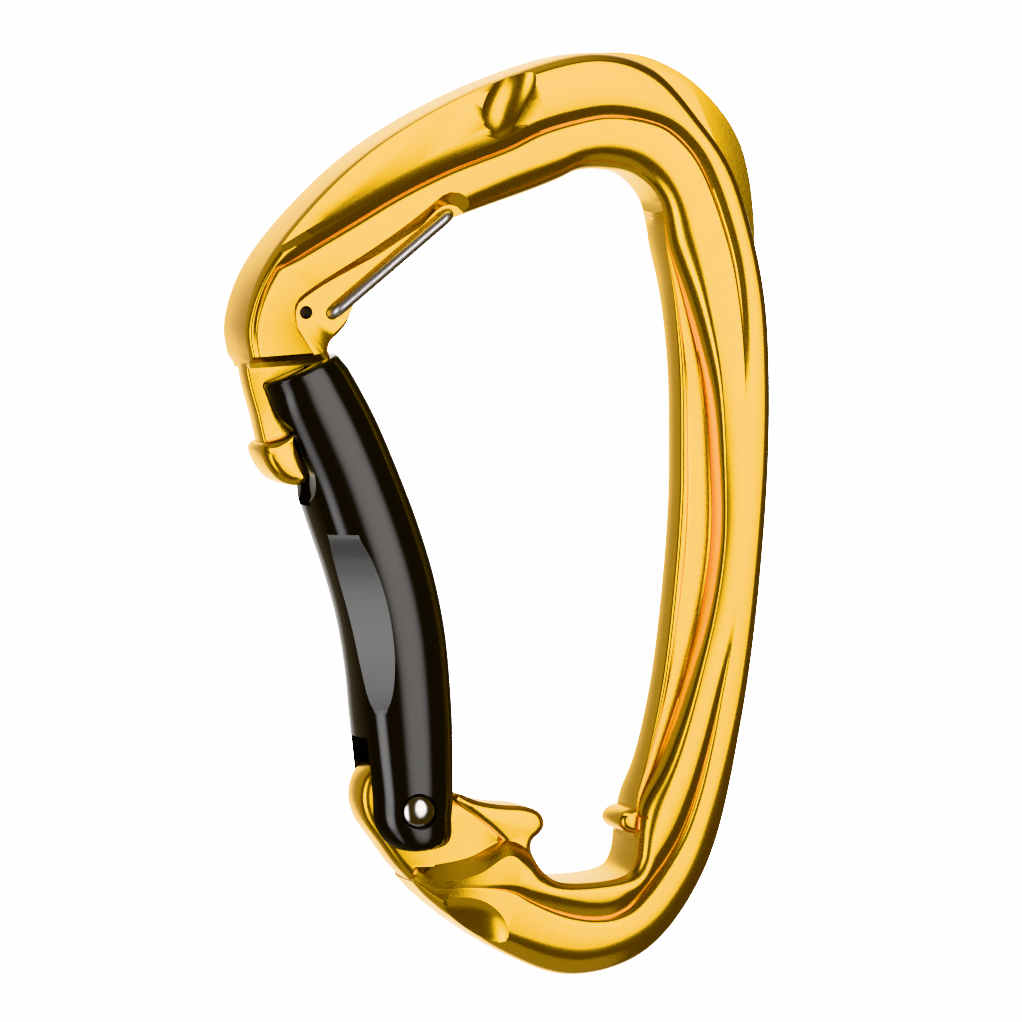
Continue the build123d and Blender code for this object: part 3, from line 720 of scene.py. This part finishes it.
links.new(drawn.outputs["Fac"], dents.inputs["Height"])
links.new(dents.outputs["Normal"], shader.inputs["Normal"])
wire.data.materials.append(spring_steel)
wire.data.shade_smooth()
wire.data.set_sharp_from_angle(angle=math.radians(50))
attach(wire, "prop_wire")
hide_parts("prop_wire")


# ---- Gate plunger ----
# A turned steel pin that slides in the gate's bore. The spring behind it presses its blunt point on the flat
# top of the tang.
profile = ((0.75, -64.35), (0.95, -64.25), (1.5, -63.4), (1.55, -63.2), (1.55, -56.5), (1.4, -56.36))
plunger_rings = []
for r, z in profile:
    plunger_rings.append([(x, y, z) for x, y in oval(bore_x, 0, r, r, 32)])
plunger = solid("gate_plunger_pin", plunger_rings)
plunger.data.materials.append(steel)
plunger.data.shade_smooth()
plunger.data.set_sharp_from_angle(angle=math.radians(40))
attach(plunger, "plunger")
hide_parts("gate_plunger")


# ---- Gate spring ----
# A coil of drawn spring wire in the gate's bore, between the blind end and the plunger, which pushes the gate
# shut. It is baked at one length and moves with the gate, though the real one shortens as the gate opens and
# the tang pushes the plunger up the bore.
tree = bpy.data.node_groups.new("coil_spring", "GeometryNodeTree")
tree.interface.new_socket("Geometry", in_out="OUTPUT", socket_type="NodeSocketGeometry")
chosen = {}
for name, value in (("Turns", 6.0), ("Coil Radius", 0.0013), ("Length", 0.00685), ("Wire Radius", 0.00022)):
    socket = tree.interface.new_socket(name, in_out="INPUT", socket_type="NodeSocketFloat")
    chosen[socket.identifier] = value
given = tree.nodes.new("NodeGroupInput")
spiral = tree.nodes.new("GeometryNodeCurveSpiral")
spiral.inputs["Resolution"].default_value = 26
tree.links.new(given.outputs["Turns"], spiral.inputs["Rotations"])
tree.links.new(given.outputs["Coil Radius"], spiral.inputs["Start Radius"])
tree.links.new(given.outputs["Coil Radius"], spiral.inputs["End Radius"])
tree.links.new(given.outputs["Length"], spiral.inputs["Height"])
round_wire = tree.nodes.new("GeometryNodeCurvePrimitiveCircle")
round_wire.inputs["Resolution"].default_value = 8
tree.links.new(given.outputs["Wire Radius"], round_wire.inputs["Radius"])
swept = tree.nodes.new("GeometryNodeCurveToMesh")
swept.inputs["Fill Caps"].default_value = True
tree.links.new(spiral.outputs["Curve"], swept.inputs["Curve"])
tree.links.new(round_wire.outputs["Curve"], swept.inputs["Profile Curve"])
seat = tree.nodes.new("GeometryNodeTransform")
seat.inputs["Translation"].default_value = (bore_x / 1000, 0, -0.0561)
tree.links.new(swept.outputs["Mesh"], seat.inputs["Geometry"])
whole = tree.nodes.new("GeometryNodeRealizeInstances")
tree.links.new(seat.outputs["Geometry"], whole.inputs["Geometry"])
dressed = tree.nodes.new("GeometryNodeSetMaterial")
dressed.inputs["Material"].default_value = spring_steel
tree.links.new(whole.outputs["Geometry"], dressed.inputs["Geometry"])
result = tree.nodes.new("NodeGroupOutput")
tree.links.new(dressed.outputs["Geometry"], result.inputs["Geometry"])
spring = bpy.data.objects.new("gate_spring_coil", bpy.data.meshes.new("gate_spring_coil"))
bpy.context.scene.collection.objects.link(spring)
step = spring.modifiers.new("coil", "NODES")
step.node_group = tree
for identifier, value in chosen.items():
    step[identifier] = value
spring.data = bpy.data.meshes.new_from_object(spring.evaluated_get(bpy.context.evaluated_depsgraph_get()))
spring.modifiers.remove(step)
spring.data.name = spring.name
spring.data.shade_smooth()
spring.data.set_sharp_from_angle(angle=math.radians(50))
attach(spring, "gate")
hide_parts("gate_spring")
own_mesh(spring)

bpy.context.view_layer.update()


# ---- Floor, light and camera ----
# A pale floor well below, and a white room: a soft window in front on the right, a narrow tall one on the
# left, a dim wall and a brighter strip behind, and a little light from above.
paint = bpy.data.materials.new("floor")
paint.use_nodes = True
shader = paint.node_tree.nodes["Principled BSDF"]
shader.inputs["Base Color"].default_value = (0.9, 0.9, 0.9, 1)
mesh = bpy.data.meshes.new("floor")
side, drop_below = 0.6, 0.95
mesh.from_pydata([(-side, -side, -drop_below), (side, -side, -drop_below), (side, side, -drop_below),
                  (-side, side, -drop_below)], [], [(0, 1, 2, 3)])
mesh.materials.append(paint)
ground = bpy.data.objects.new("floor", mesh)
bpy.context.scene.collection.objects.link(ground)

world = bpy.data.worlds.new("studio")
bpy.context.scene.world = world
world.use_nodes = True
nodes, links = world.node_tree.nodes, world.node_tree.links
coords = nodes.new("ShaderNodeTexCoord")
tall = nodes.new("ShaderNodeVectorMath")
tall.operation = "MULTIPLY"
tall.inputs[1].default_value = (1, 1, 0.6)
links.new(coords.outputs["Generated"], tall.inputs[0])
unit = nodes.new("ShaderNodeVectorMath")
unit.operation = "NORMALIZE"
links.new(tall.outputs[0], unit.inputs[0])
light = nodes.new("ShaderNodeRGB")
light.outputs[0].default_value = (0.085, 0.058, 0.022, 1)
light = light.outputs[0]
# Each window: its direction, the angles where it is full and where it has faded out, and its colour and power
windows = (
    ((0.35, -0.93, 0.11), 6, 22, (2.9, 2.8, 2.7)),
    ((-0.72, -0.69, -0.02), 7, 20, (2.3, 2.3, 2.3)),
    ((-0.65, -0.70, -0.26), 7, 20, (1.6, 1.6, 1.6)),
    ((-0.35, 0.93, 0.10), 25, 80, (0.34, 0.31, 0.26)),
    ((0.20, 0.98, -0.07), 8, 34, (1.5, 1.5, 1.5)),
    ((0.00, 0.00, 1.00), 15, 60, (0.3, 0.28, 0.25)),
)
for axis, full, none, power in windows:
    facing = nodes.new("ShaderNodeVectorMath")
    facing.operation = "DOT_PRODUCT"
    facing.inputs[1].default_value = Vector(axis).normalized()
    links.new(unit.outputs[0], facing.inputs[0])
    fade = nodes.new("ShaderNodeMapRange")
    fade.interpolation_type = "SMOOTHSTEP"
    fade.inputs["From Min"].default_value = math.cos(math.radians(none))
    fade.inputs["From Max"].default_value = math.cos(math.radians(full))
    links.new(facing.outputs["Value"], fade.inputs["Value"])
    glow = nodes.new("ShaderNodeVectorMath")
    glow.operation = "MULTIPLY_ADD"
    glow.inputs[1].default_value = power
    links.new(fade.outputs["Result"], glow.inputs[0])
    links.new(light, glow.inputs[2])
    light = glow.outputs[0]
rays = nodes.new("ShaderNodeLightPath")
seen = nodes.new("ShaderNodeMix")
seen.data_type = "RGBA"
seen.inputs["B"].default_value = (10, 10, 10, 1)
links.new(rays.outputs["Is Camera Ray"], seen.inputs["Factor"])
links.new(light, seen.inputs["A"])
links.new(seen.outputs["Result"], nodes["Background"].inputs["Color"])
bpy.context.scene.view_settings.view_transform = "Khronos PBR Neutral"

azimuth, elevation, distance = math.radians(-20), math.radians(4), 0.60
level = math.cos(elevation)
back = Vector((math.sin(azimuth) * level, -math.cos(azimuth) * level, math.sin(elevation)))
target = Vector((-0.011, 0, -0.0368))
seen_wide = 1022 / 9.27 / 1000
camera = bpy.data.cameras.new("camera")
camera.sensor_width = 36
camera.lens = camera.sensor_width * distance / seen_wide
view = bpy.data.objects.new("camera", camera)
view.location = target + back * distance
view.rotation_euler = back.to_track_quat("Z", "Y").to_euler()
bpy.context.scene.collection.objects.link(view)
bpy.context.scene.camera = view
